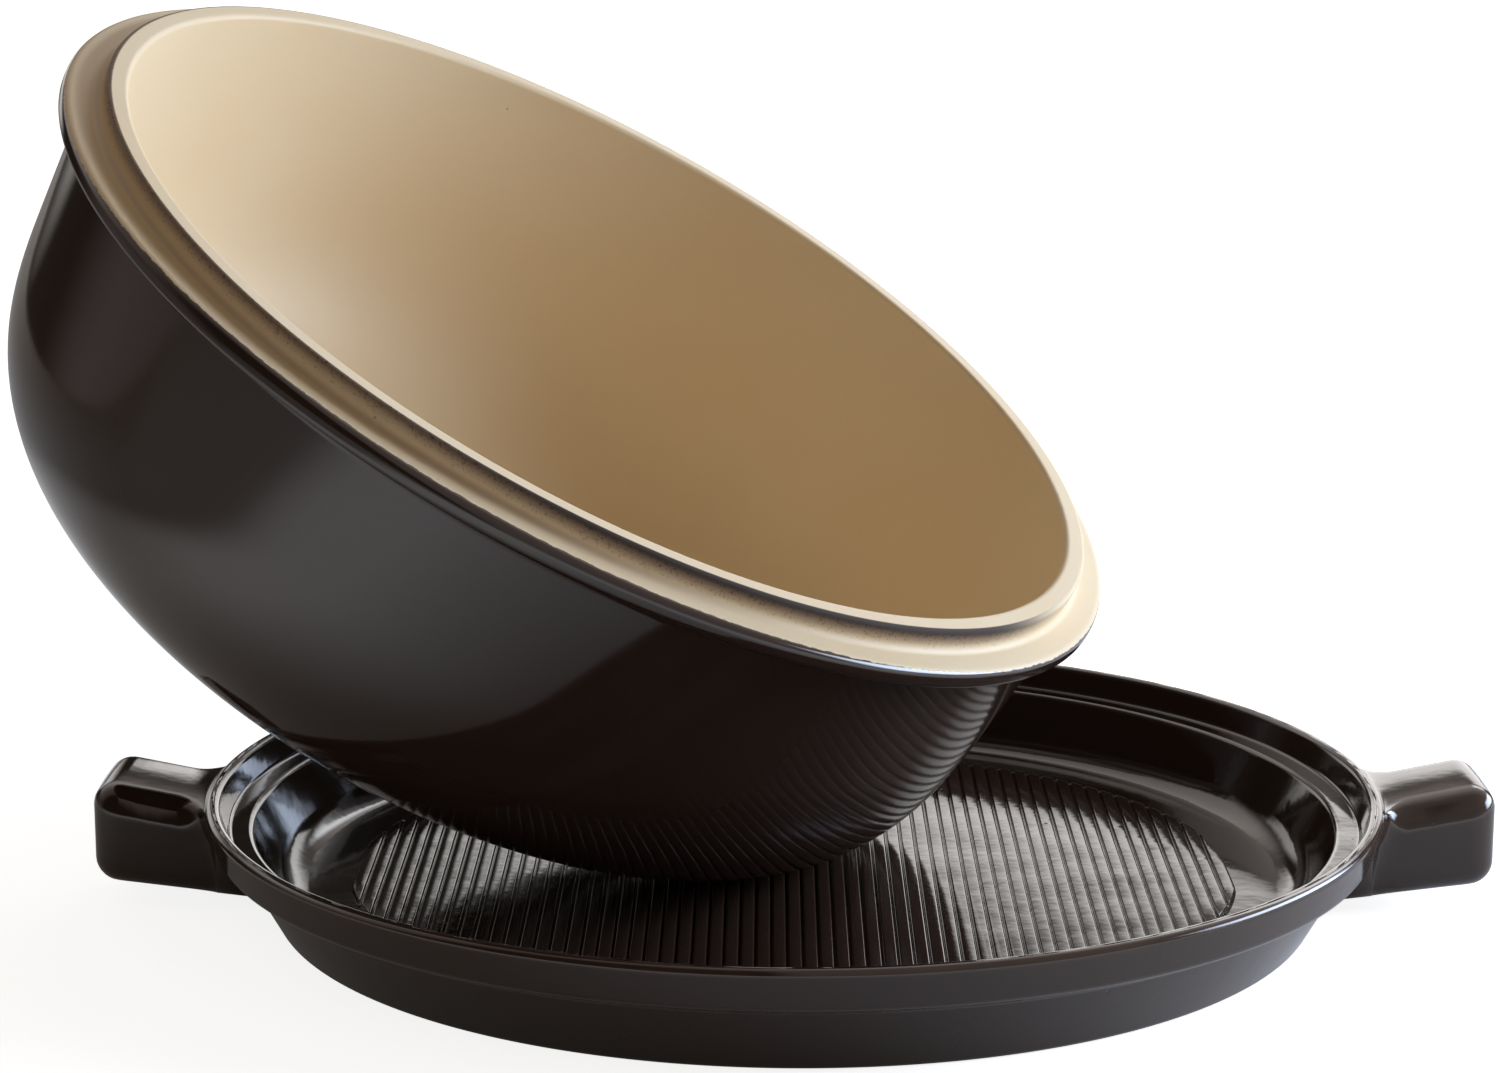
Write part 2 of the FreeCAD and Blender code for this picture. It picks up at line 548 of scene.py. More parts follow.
@dataclass(frozen=True)
class TwoToneGlaze:
    """The dome's glazes: dark gloss outside, satin cream inside and over the mouth.

    Offsets from the outline's marks are millimetres. Spans across the piece, from left to right, are metres.
    """

    dark: DarkGlaze = DarkGlaze(gloss=0.09)
    cream: Colour = (0.80, 0.645, 0.415)
    warm: Colour = (0.78, 0.61, 0.375)
    warm_waves: float = 14.0
    warm_span: Span = (0.3, 0.75)
    # Brown and near-black of the bands on the lip's outer wall: partly dark specked glaze, partly painted
    # shade.
    lip_brown: Colour = (0.30, 0.20, 0.12)
    lip_dark: Colour = (0.050, 0.036, 0.027)
    satin: float = 0.56
    lip_dark_rough: float = 0.9
    glaze_offset: float = -0.4
    glaze_softness: float = 0.18
    glaze_climb: float = 1.9
    climb_span: Span = (-0.17, -0.09)
    fall_span: Span = (-0.04, 0.10)
    glaze_wander: float = 1.1
    wander_waves: float = 420.0
    grain_share: float = 0.24
    # Where the lip's bands lie, partly specked glaze and partly painted shade: under its edge, thinner on the
    # left, ending at the far right.
    edge_span: Span = (0.95, 0.60)
    brown_span: Span = (0.05, 0.65)
    lip_dark_span: Span = (0.48, 0.92)
    lip_dark_end: Span = (0.066, 0.044)
    lip_brown_span: Span = (-0.10, -0.02)
    lip_brown_thin: float = 0.32
    # Painted shade: brown along the concave foot of the lip, on the left, where the lip shades it.
    groove_shade_width: float = 1.5
    groove_shade_share: float = 0.42
    groove_shade_span: Span = (0.0, -0.06)
    pit_share: float = 0.7

    def creamy(self, tree: Tree, where: NodeSocket, across: NodeSocket, glaze_line: float) -> NodeSocket:
        """Where the cream lies: inside a wavering line that climbs on the left.

        Args:
            tree: The material's tree.
            where: Place on the piece.
            across: Its distance to the right.
            glaze_line: Length along the outline where the glazes meet.

        Returns:
            Share of the cream.
        """
        climbs = tree.maths(
            "SUBTRACT", tree.ramp(across, *self.climb_span), tree.ramp(across, *self.fall_span))
        runs = tree.times(climbs, -self.glaze_climb)
        sway = tree.maths("SUBTRACT", tree.noise(where, self.wander_waves, detail=4.0), 0.5)
        wander = tree.times(sway, self.glaze_wander)
        line = tree.maths("ADD", tree.maths("ADD", tree.attribute(STATION), wander), runs)
        edge = glaze_line + self.glaze_offset
        return tree.ramp(line, edge - self.glaze_softness, edge + self.glaze_softness)

    def lip_bands_and_shade(
        self, tree: Tree, grain: NodeSocket, across: NodeSocket, marks: dict[str, float],
    ) -> tuple[NodeSocket, NodeSocket]:
        """How brown and how dark the lip's outer wall is: darkest under its edge, reaching less far down on
        the left and ending at the far right, partly dark specked glaze and partly painted shade; painted
        shade also lies in the groove at its foot.

        Args:
            tree: The material's tree.
            grain: Specks that roughen the bands.
            across: Distance to the right.
            marks: Lengths along the dome's outline.

        Returns:
            Shares of brown, with the painted groove shade, and of the dark band under the edge.
        """
        station = tree.attribute(STATION)
        height = tree.ramp(station, marks["lip_foot"], marks["lip_edge"], smooth=False)
        height = tree.maths("ADD", height, tree.times(grain, self.grain_share))
        spared = tree.maths("SUBTRACT", 1.0, tree.ramp(across, *self.lip_brown_span))
        height = tree.maths("SUBTRACT", height, tree.times(spared, self.lip_brown_thin))
        under_edge = tree.ramp(station, *(marks["lip_edge"] + offset for offset in self.edge_span))
        under_edge = tree.times(under_edge, tree.ramp(across, *self.lip_dark_end))
        # Partly painted shade: brown and dark bands on the lip's outer wall under its edge.
        brown_and_shade = tree.times(tree.ramp(height, *self.brown_span), under_edge)
        dark_and_shade = tree.times(tree.ramp(height, *self.lip_dark_span), under_edge)
        # Painted shade in the groove at the lip's foot, on the left side only.
        off_foot = tree.maths("ABSOLUTE", tree.maths("SUBTRACT", station, marks["lip_foot"]))
        groove = tree.times(tree.ramp(off_foot, self.groove_shade_width, 0.0), self.groove_shade_share)
        groove = tree.times(groove, tree.ramp(across, *self.groove_shade_span))
        return tree.maths("MAXIMUM", brown_and_shade, groove), dark_and_shade

    def material(self, effects: EffectGroups, marks: dict[str, float]) -> Material:
        """Builds the finish.

        Args:
            effects: The shared effects.
            marks: Lengths along the dome's outline, in millimetres.

        Returns:
            The material.
        """
        material, tree = node_material("two_tone_glaze")
        where = tree.add("TexCoord").outputs["Object"]
        across = tree.feed(tree.add("SeparateXYZ"), Vector=where).outputs["X"]
        relief = effects.place(
            tree, GroupKind.RELIEF, where, Ripple_Waves=28.0, Ripple_Depth=1.6e-4,
            Pit_Cells=60.0, Pit_Radius=0.035, Pit_Share=0.8)
        grain = effects.place(tree, GroupKind.SPECKS, where, Waves=1500.0, Density=0.5, Softness=0.3)
        inside = self.creamy(tree, where, across, marks["glaze_line"])
        brown_and_shade, dark_and_shade = self.lip_bands_and_shade(tree, grain.outputs["Mask"], across, marks)
        pits = tree.times(relief.outputs["Pits"], self.pit_share)
        brown_and_shade = tree.maths("MAXIMUM", brown_and_shade, pits)
        warmth = tree.ramp(tree.noise(where, self.warm_waves, detail=2.0), *self.warm_span)
        cream = tree.blend(warmth, self.cream, self.warm)
        # The brown band, the groove and the dark band under the lip's edge are partly painted shade.
        cream = tree.blend(brown_and_shade, cream, self.lip_brown)
        cream = tree.blend(dark_and_shade, cream, self.lip_dark)
        colour = tree.blend(inside, self.dark.deep, cream)
        duller = tree.times(inside, self.satin - self.dark.gloss)
        rough = tree.maths("ADD", self.dark.gloss, duller)
        rough = tree.between(tree.times(dark_and_shade, inside), rough, self.lip_dark_rough)
        tree.glazed(colour, rough, relief.outputs["Height"], self.dark.refraction)
        return material


# The two pieces


@dataclass(frozen=True)
class Handle:
    """A tab handle, thicker at its outer end, that flares into the wall of the base."""

    length: float = 26.2
    width: float = 36.0
    top_z: float = 26.4
    under_z: float = 3.9
    top_rise: float = 11.4
    under_rise: float = 6.9
    corner_r: float = 7.0
    edge_r: float = 6.5
    under_edge_r: float = 5.0
    least_edge_r: float = 0.3
    crown: float = 1.4
    flare: float = 7.5
    flare_up: float = 0.12
    flare_low: float = 0.1
    root_edge_r: float = 1.6
    embed: float = 1.2
    end_inset: float = 0.6
    edge_thin: float = 0.6
    edge_slant: float = 0.1
    corner_parts: int = 8
    side_parts: int = 14
    end_parts: int = 9
    neck_parts: int = 3
    flare_parts: int = 10

    def section(self) -> list[SectionPoint]:
        """Goes round a rounded rectangle.

        Returns:
            Points, as shares of the core's half width and half height and a unit direction outward.
        """
        points = []
        for quarter in range(4):
            start = quarter * QUARTER_TURN
            y_side = 1.0 if quarter in (0, 3) else -1.0
            z_side = 1.0 if quarter in (0, 1) else -1.0
            for i in range(self.corner_parts + 1):
                angle = start + QUARTER_TURN * i / self.corner_parts
                points.append((y_side, z_side, math.cos(angle), math.sin(angle)))
            upright = quarter in (1, 3)
            outward = (math.cos(start + QUARTER_TURN), math.sin(start + QUARTER_TURN))
            for i in range(1, self.side_parts):
                share = 1.0 - 2.0 * i / self.side_parts
                core = (y_side, z_side * share) if upright else (y_side * share, z_side)
                points.append((*core, *outward))
        return points

    def point(self, x: float, rim_r: float, spec: SectionPoint, swell: float) -> Vector:
        """Where one point of the section lies at a given distance out.

        Args:
            x: Distance from the base's axis.
            rim_r: The base's outer radius.
            spec: The section's point.
            swell: How far the section is swollen by the flare.

        Returns:
            The place, in millimetres.
        """
        core_y, core_z, out_y, out_z = spec
        top = self.top_z + (x - rim_r) * math.tan(math.radians(self.top_rise))
        under = self.under_z + (x - rim_r) * math.tan(math.radians(self.under_rise))
        from_end = rim_r + self.length - x
        upper = (1 + core_z) / 2
        rounding = self.under_edge_r + (self.edge_r - self.under_edge_r) * upper
        in_plan = max(self.corner_r - from_end, 0.0)
        in_height = max(rounding - from_end, 0.0)
        narrow = self.corner_r - math.sqrt(self.corner_r ** 2 - min(in_plan, self.corner_r) ** 2)
        lower = rounding - math.sqrt(rounding ** 2 - min(in_height, rounding) ** 2)
        share = swell / self.flare * upper
        edge = max(rounding - lower, self.least_edge_r) * (1 - share) + self.root_edge_r * share
        half_z = (top - under) / 2 - lower - edge
        rise = swell * self.flare_up if core_z > 0 else 0.0
        z = (top + under) / 2 + core_z * (half_z + rise) + out_z * edge
        level = min(max((z - under) / (top - under), 0.0), 1.0)
        wider = swell * (self.flare_low + (1 - self.flare_low) * eased(level))
        y = core_y * (self.width / 2 - narrow - edge + wider) + out_y * edge
        return Vector((x, y, z - self.crown * level * (2 * y / (self.width + 2 * self.flare)) ** 2))


@dataclass(frozen=True)
class Base:
    """The round base: rim, seat ledge, gutter, ribbed floor and two handles."""

    height: float = 27.5
    rim_r: float = 142.2
    rim_width: float = 3.6
    rim_edge: float = 1.5
    band_height: float = 9.6
    band_draft: float = 2.6
    band_edge: float = 2.4
    crease_drop: float = 2.4
    crease_inset: float = 5.8
    crease_fillet: float = 2.2
    foot_inset: float = 17.0
    foot_edge: float = 2.0
    step_draft: float = 2.4
    step_fillet: float = 1.1
    ledge_width: float = 5.5
    ledge_drop: float = 6.5
    ledge_edge: float = 1.6
    floor_z: float = 5.0
    slope_run: float = 7.7
    gutter_fillet: float = 9.0
    rib_pitch: float = 3.6
    rib_crest: float = 2.5
    rib_height: float = 1.4
    rib_sag: float = 0.055
    rib_thin: float = 0.15
    rib_margin: float = 15.5
    rib_end_run: float = 2.6
    rib_lift: float = 0.03
    rib_sink: float = 0.6
    rib_least_half: float = 0.5
    rib_stations: tuple[float, ...] = (0.0, 0.35, 0.8, 1.3, 1.8, 2.3, 3.0, 12.0)
    crest_shares: tuple[float, ...] = (0.0, 0.3, 0.6, 0.85, 1.0)
    groove_height: float = 0.7
    groove_parts: int = 5
    turn_steps: int = 320
    settle_rounds: int = 6
    handle: Handle = Handle()

    @property
    def gutter_r(self) -> float:
        """Radius where the sloping wall meets the floor."""
        return self.rim_r - self.rim_width - self.step_draft - self.ledge_width - self.slope_run

    def outside(self) -> list[Corner]:
        """Sets out the outside.

        Returns:
            Its corners, from the foot to the rim.
        """
        band_r = self.rim_r - self.band_draft
        band_z = self.height - self.band_height
        return [
            Corner(self.rim_r - self.foot_inset, 0.0, self.foot_edge, thin=0.5),
            Corner(band_r - self.crease_inset, band_z - self.crease_drop, self.crease_fillet),
            Corner(band_r, band_z, self.band_edge, thin=0.2),
            Corner(self.rim_r, self.height, self.rim_edge, thin=1.0),
        ]

    def inside(self) -> list[Corner]:
        """Sets out the tray.

        Returns:
            Its corners, from the rim to the middle of the floor.
        """
        rim_in = self.rim_r - self.rim_width
        step_r = rim_in - self.step_draft
        ledge_z = self.height - self.ledge_drop
        return [
            Corner(rim_in, self.height, self.rim_edge, thin=0.8),
            Corner(step_r, ledge_z, self.step_fillet),
            Corner(step_r - self.ledge_width, ledge_z, self.ledge_edge, thin=0.5),
            Corner(self.gutter_r, self.floor_z, self.gutter_fillet),
            Corner(0.0, self.floor_z),
        ]

    def body(self) -> BMesh:
        """Turns the base without its ribs and handles.

        Returns:
            The mesh.
        """
        outline = Outline()
        outline.add(0.0, 0.0)
        outline.round_off(self.outside() + self.inside())
        return turned(outline, self.turn_steps)

    @cached_property
    def wall(self) -> list[tuple[float, float]]:
        """The outside with its roundings.

        Returns:
            Heights and radii, from the foot to the top of the rim.
        """
        outline = Outline()
        outline.add(0.0, 0.0)
        outline.round_off(self.outside() + self.inside()[:1])
        return [(z, r) for r, z, _ in outline.points[1:]]

    def wall_r(self, z: float) -> float:
        """Radius of the outside at a height.

        Args:
            z: The height.

        Returns:
            The radius.
        """
        for (low_z, low_r), (high_z, high_r) in zip(self.wall, self.wall[1:]):
            if low_z <= z < high_z:
                return low_r + (high_r - low_r) * (z - low_z) / (high_z - low_z)
        return self.rim_r - self.rim_edge

    def rib_wave(self) -> list[tuple[float, float]]:
        """One rib's section across its pitch, with a flat crest and a tight groove.

        Returns:
            Points from the groove on its left to just before the groove on its right, as x and height.
        """
        crest = self.rib_crest / 2
        groove = self.rib_pitch / 2 - crest
        depth = self.rib_height - self.rib_sag - self.groove_height
        wave = [(crest * share, self.rib_height - self.rib_sag * share ** 2) for share in self.crest_shares]
        for i in range(1, self.groove_parts + 1):
            share = i / self.groove_parts
            ease = (1 + math.cos(math.pi * share)) / 2
            wave.append((crest + groove * share, self.groove_height + depth * ease))
        mirrored = [(-x, height) for x, height in reversed(wave[1:])]
        return mirrored + wave[:-1]

    def ribs(self) -> BMesh:
        """The ribbed part of the floor, as one closed plate with a round edge.

        Returns:
            The mesh.
        """
        bm = bmesh.new()
        bm.verts.layers.float.new(STATION)
        thin = bm.verts.layers.float.new(THIN)
        field_r = self.gutter_r - self.rib_margin
        count = int((field_r - self.rib_crest) / self.rib_pitch)
        row = []
        for i in range(-count, count + 1):
            for x, height in self.rib_wave():
                vert = bm.verts.new((x + i * self.rib_pitch, 0.0, height))
                vert[thin] = self.rib_thin if height > self.rib_height - self.rib_sag else 0.0
                row.append(vert)
        row.append(bm.verts.new(((count + 0.5) * self.rib_pitch, 0.0, self.groove_height)))
        edges = [bm.edges.new(pair) for pair in zip(row, row[1:])]
        heights = [vert.co.z for vert in row]
        lines = [(-1, s) for s in self.rib_stations] + [(1, s) for s in reversed(self.rib_stations)]
        for index, (side, from_end) in enumerate(lines):
            if index:
                row, edges = extruded(bm, edges)
                row.sort(key=lambda vert: vert.co.x)
            rise = eased(min(from_end / self.rib_end_run, 1.0))
            for vert, height in zip(row, heights):
                reach = math.sqrt(field_r ** 2 - vert.co.x ** 2)
                vert.co.y = side * max(reach - from_end, self.rib_least_half)
                vert.co.z = self.floor_z + self.rib_lift + height * rise
        skirt, border = extruded(bm, [e for e in bm.edges if e.is_boundary])
        for vert in skirt:
            vert.co.z = self.floor_z - self.rib_sink
        bmesh.ops.edgeloop_fill(bm, edges=border)
        bmesh.ops.recalc_face_normals(bm, faces=bm.faces[:])
        return bm

    def tab_rings(self, specs: list[SectionPoint]) -> list[list[Vector]]:
        """Sets out the handle on the +X side.

        Args:
            specs: The points of its section.

        Returns:
            Rings of places, from its end face inward to the wall.
        """
        grip = self.handle
        end = self.rim_r + grip.length
        inner = end - max(grip.corner_r, grip.edge_r)
        rings = []
        for i in range(grip.end_parts + 1):
            x = end - (end - inner) * (1 - math.cos(QUARTER_TURN * i / grip.end_parts))
            rings.append([grip.point(x, self.rim_r, spec, 0.0) for spec in specs])
        for i in range(1, grip.neck_parts + 1):
            rings.append([self.root_point(spec, grip.flare, i / grip.neck_parts, inner) for spec in specs])
        for i in range(1, grip.flare_parts + 1):
            gap = grip.flare * (1 - math.sin(QUARTER_TURN * i / grip.flare_parts))
            rings.append([self.root_point(spec, gap, 1.0, inner) for spec in specs])
        rings.append([self.root_point(spec, -grip.embed, 1.0, inner) for spec in specs])
        return rings

    def tab(self) -> BMesh:
        """Draws the handle on the +X side.

        Returns:
            The mesh.
        """
        grip = self.handle
        bm = bmesh.new()
        bm.verts.layers.float.new(STATION)
        thin = bm.verts.layers.float.new(THIN)
        specs = grip.section()
        ring = bmesh.ops.create_circle(bm, segments=len(specs), radius=1.0)["verts"]
        edges = list({e for v in ring for e in v.link_edges})
        last_thin = grip.end_parts + grip.neck_parts + 1
        for index, places in enumerate(self.tab_rings(specs)):
            if index:
                fresh, edges = extruded(bm, edges)
                lookup = {v.co.to_tuple(PLACE_DIGITS): v for v in fresh}
                ring = [lookup[v.co.to_tuple(PLACE_DIGITS)] for v in ring]
            for vert, place, (_, _, out_y, out_z) in zip(ring, places, specs):
                vert.co = place
                on_edge = abs(out_y * out_z) > grip.edge_slant
                vert[thin] = grip.edge_thin if on_edge and index <= last_thin else 0.0
        caps = bmesh.ops.holes_fill(bm, edges=[e for e in bm.edges if e.is_boundary], sides=0)["faces"]
        face = max(caps, key=lambda f: f.calc_center_median().x)
        bmesh.ops.inset_region(bm, faces=[face], thickness=grip.end_inset, use_even_offset=True)
        bmesh.ops.recalc_face_normals(bm, faces=bm.faces[:])
        return bm

    def root_point(self, spec: SectionPoint, gap: float, share: float, outer: float) -> Vector:
        """A point of the handle that stands a given gap off the band, or that is sunk in the wall.

        Args:
            spec: The section's point.
            gap: Distance out from the band; below 0 it is sunk that deep in the wall, under the band too.
            share: Share of the way from the outer ring to that gap.
            outer: Distance out of the outer ring.

        Returns:
            The place, in millimetres.
        """
        grip = self.handle
        close = min(max(gap, 0.0), grip.flare)
        swell = grip.flare - math.sqrt(grip.flare ** 2 - (grip.flare - close) ** 2)
        x = outer
        for _ in range(self.settle_rounds):
            place = grip.point(x, self.rim_r, spec, swell)
            wall_r = self.wall_r(place.z)
            if gap >= 0.0:
                wall_r = max(wall_r, self.rim_r - self.band_draft)
            x = math.sqrt(wall_r ** 2 - place.y ** 2) + gap
        x = outer + (x - outer) * share
        return grip.point(x, self.rim_r, spec, swell * share)

    def build(self, material: Material) -> Object:
        """Builds the base.

        Args:
            material: Its finish.

        Returns:
            The piece, riding on its body in place of the plain solid.
        """
        left = self.tab()
        half_turn = Matrix.Rotation(math.pi, 3, "Z")
        bmesh.ops.rotate(left, verts=left.verts[:], cent=(0, 0, 0), matrix=half_turn)
        piece = finished("base_glazed", [self.body(), self.ribs(), self.tab(), left], material)
        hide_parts("base")
        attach(piece, "base")
        return piece


@dataclass(frozen=True)
class Dome:
    """The deep dome with its flange and locating lip, lying tipped over, mouth up."""

    flange_r: float = 141.0
    flange_thickness: float = 5.0
    flange_edge: float = 2.0
    neck_fillet: float = 3.0
    lip_r: float = 132.7
    lip_width: float = 5.5
    lip_height: float = 5.6
    lip_edge: float = 1.1
    lip_round: float = 1.3
    lip_fillet: float = 1.9
    depth: float = 119.8
    thickness: float = 8.2
    taper: float = 3.8
    shoulder_r: float = 47.5
    crown_r: float = 241.5
    ease: float = 15.0
    tip: float = 30.76
    turn: float = -22.5
    turn_steps: int = 320
    shell_parts: int = 72
    shell_fine: int = 10

    def shell(self) -> tuple[list[Vector], list[Vector]]:
        """The eased outside from the crown to the straight wall, and the inside parallel to it.

        Returns:
            Points of the outside and of the inside, as r and z, from the axis outward.
        """
        lean = math.radians(self.taper)
        upright = QUARTER_TURN - lean
        crown_z = self.crown_r - self.depth
        start_r = self.lip_r - self.lip_width + (self.thickness - self.shoulder_r) * math.cos(lean)
        start_z = (self.shoulder_r - self.thickness) * math.sin(lean)
        rise = start_z - crown_z
        along = start_r * math.sin(lean) + rise * math.cos(lean)
        gap = self.crown_r - self.shoulder_r
        wall = along + math.sqrt(along ** 2 - start_r ** 2 - rise ** 2 + gap ** 2)
        shoulder = Vector((start_r - wall * math.sin(lean), start_z - wall * math.cos(lean)))
        join = math.atan2(shoulder.x, crown_z - shoulder.y)
        bends = [(self.crown_r * join, 1 / self.crown_r, 1 / self.shoulder_r)]
        bends.append((bends[0][0] + self.shoulder_r * (upright - join), 1 / self.shoulder_r, 0.0))
        total = bends[1][0] + self.ease
        fine = total / (self.shell_parts * self.shell_fine)
        place, angle = Vector((0.0, -self.depth)), 0.0
        places, angles = [place.copy()], [angle]
        for i in range(self.shell_parts * self.shell_fine):
            here = (i + 0.5) * fine
            bend = bends[0][1]
            for middle, before, after in bends:
                share = min(max((here - middle + self.ease) / (2 * self.ease), 0.0), 1.0)
                bend += (after - before) * share
            angle += bend * fine / 2
            place = place + Vector((math.cos(angle), math.sin(angle))) * fine
            angle += bend * fine / 2
            if (i + 1) % self.shell_fine == 0:
                places.append(place)
                angles.append(angle)
        tip = shoulder + Vector((math.sin(upright), -math.cos(upright))) * self.shoulder_r
        tip += Vector((math.sin(lean), math.cos(lean))) * self.ease
        wide = tip.x / place.x
        tall = (tip.y + self.depth) / (place.y + self.depth)
        outside = [Vector((p.x * wide, (p.y + self.depth) * tall - self.depth)) for p in places]
        inward = [Vector((-math.sin(a), math.cos(a))) * self.thickness for a in angles]
        return outside, [p + n for p, n in zip(outside, inward)]

    def outline(self) -> Outline:
        """Sets out the half section, mouth up, with the lip's top at height 0.

        Returns:
            The outline, with marks along its mouth.
        """
        lip_in = self.lip_r - self.lip_width
        under_z = -self.lip_height - self.flange_thickness
        outside, inside = self.shell()
        neck_r = outside[-1].x + (under_z - outside[-1].y) * math.tan(math.radians(self.taper))
        line = Outline()
        for point in outside:
            line.add(*point)
        line.round_off([
            Corner(neck_r, under_z, self.neck_fillet),
            Corner(self.flange_r, under_z, self.flange_edge),
            Corner(self.flange_r, -self.lip_height, self.flange_edge, mark="glaze_line"),
            Corner(self.lip_r, -self.lip_height, self.lip_fillet, mark="lip_foot"),
            Corner(self.lip_r, 0.0, self.lip_edge, mark="lip_edge"),
            Corner(lip_in, 0.0, self.lip_round),
            Corner(*inside[-1]),
        ])
        for point in reversed(inside):
            line.add(max(point.x, 0.0), point.y)
        return line

    def build(self, finish: TwoToneGlaze, effects: EffectGroups) -> Object:
        """Builds the dome where the solid lies.

        Args:
            finish: Its two glazes.
            effects: The shared effects.

        Returns:
            The piece, riding on its body in place of the plain solid.
        """
        outline = self.outline()
        bm = turned(outline, self.turn_steps)
        tipped = Matrix.Rotation(math.radians(self.tip), 3, "Y")
        pose = Matrix.Rotation(math.radians(self.turn), 3, "Z") @ tipped
        bmesh.ops.rotate(bm, verts=bm.verts[:], cent=(0, 0, 0), matrix=pose)
        shift = Vector()
        for axis, (low, high) in enumerate(zip(*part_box("dome"))):
            places = [vert.co[axis] for vert in bm.verts]
            shift[axis] = (low + high) / 2 / MM - (min(places) + max(places)) / 2
        bmesh.ops.translate(bm, verts=bm.verts[:], vec=shift)
        piece = finished("dome_glazed", [bm], finish.material(effects, outline.marks))
        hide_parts("dome")
        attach(piece, "dome")
        return piece


# The studio


@dataclass(frozen=True)
class Softbox:
    """A soft lamp that faces a point on the object."""

    name: str
    place: tuple[float, float, float]
    size: Span
    power: float
    aim: tuple[float, float, float] = (0.0, 0.0, 0.08)
    tint: Colour = WHITE
    feather: Span = (0.3, 0.3)

    def feathered(self, lamp: Light) -> None:
        """Fades the lamp toward its four edges.

        Args:
            lamp: The lamp.
        """
        lamp.use_nodes = True
        tree = Tree(lamp.node_tree)
        spot = tree.feed(tree.add("SeparateXYZ"), Vector=tree.add("NewGeometry").outputs["Parametric"])
        fade: object = 1.0
        for side, width in zip("XY", self.feather):
            share = spot.outputs[side]
            fade = tree.times(fade, tree.ramp(share, 0.0, width))
            fade = tree.times(fade, tree.ramp(share, 1.0, 1.0 - width))
        glow = tree.feed(tree.add("Emission"), Strength=fade)
        tree.feed(tree.add("OutputLight"), Surface=glow.outputs[0])

    def build(self) -> None:
        """Hangs the lamp."""
        lamp = bpy.data.lights.new(self.name, "AREA")
        self.feathered(lamp)
        lamp.shape = "RECTANGLE"
        lamp.size, lamp.size_y = self.size
        lamp.energy = self.power
        lamp.color = self.tint
        hung = bpy.data.objects.new(self.name, lamp)
        hung.location = self.place
        hung.visible_camera = False
        facing = Vector(self.aim) - Vector(self.place)
        hung.rotation_euler = facing.to_track_quat("-Z", "Y").to_euler()
        bpy.context.scene.collection.objects.link(hung)


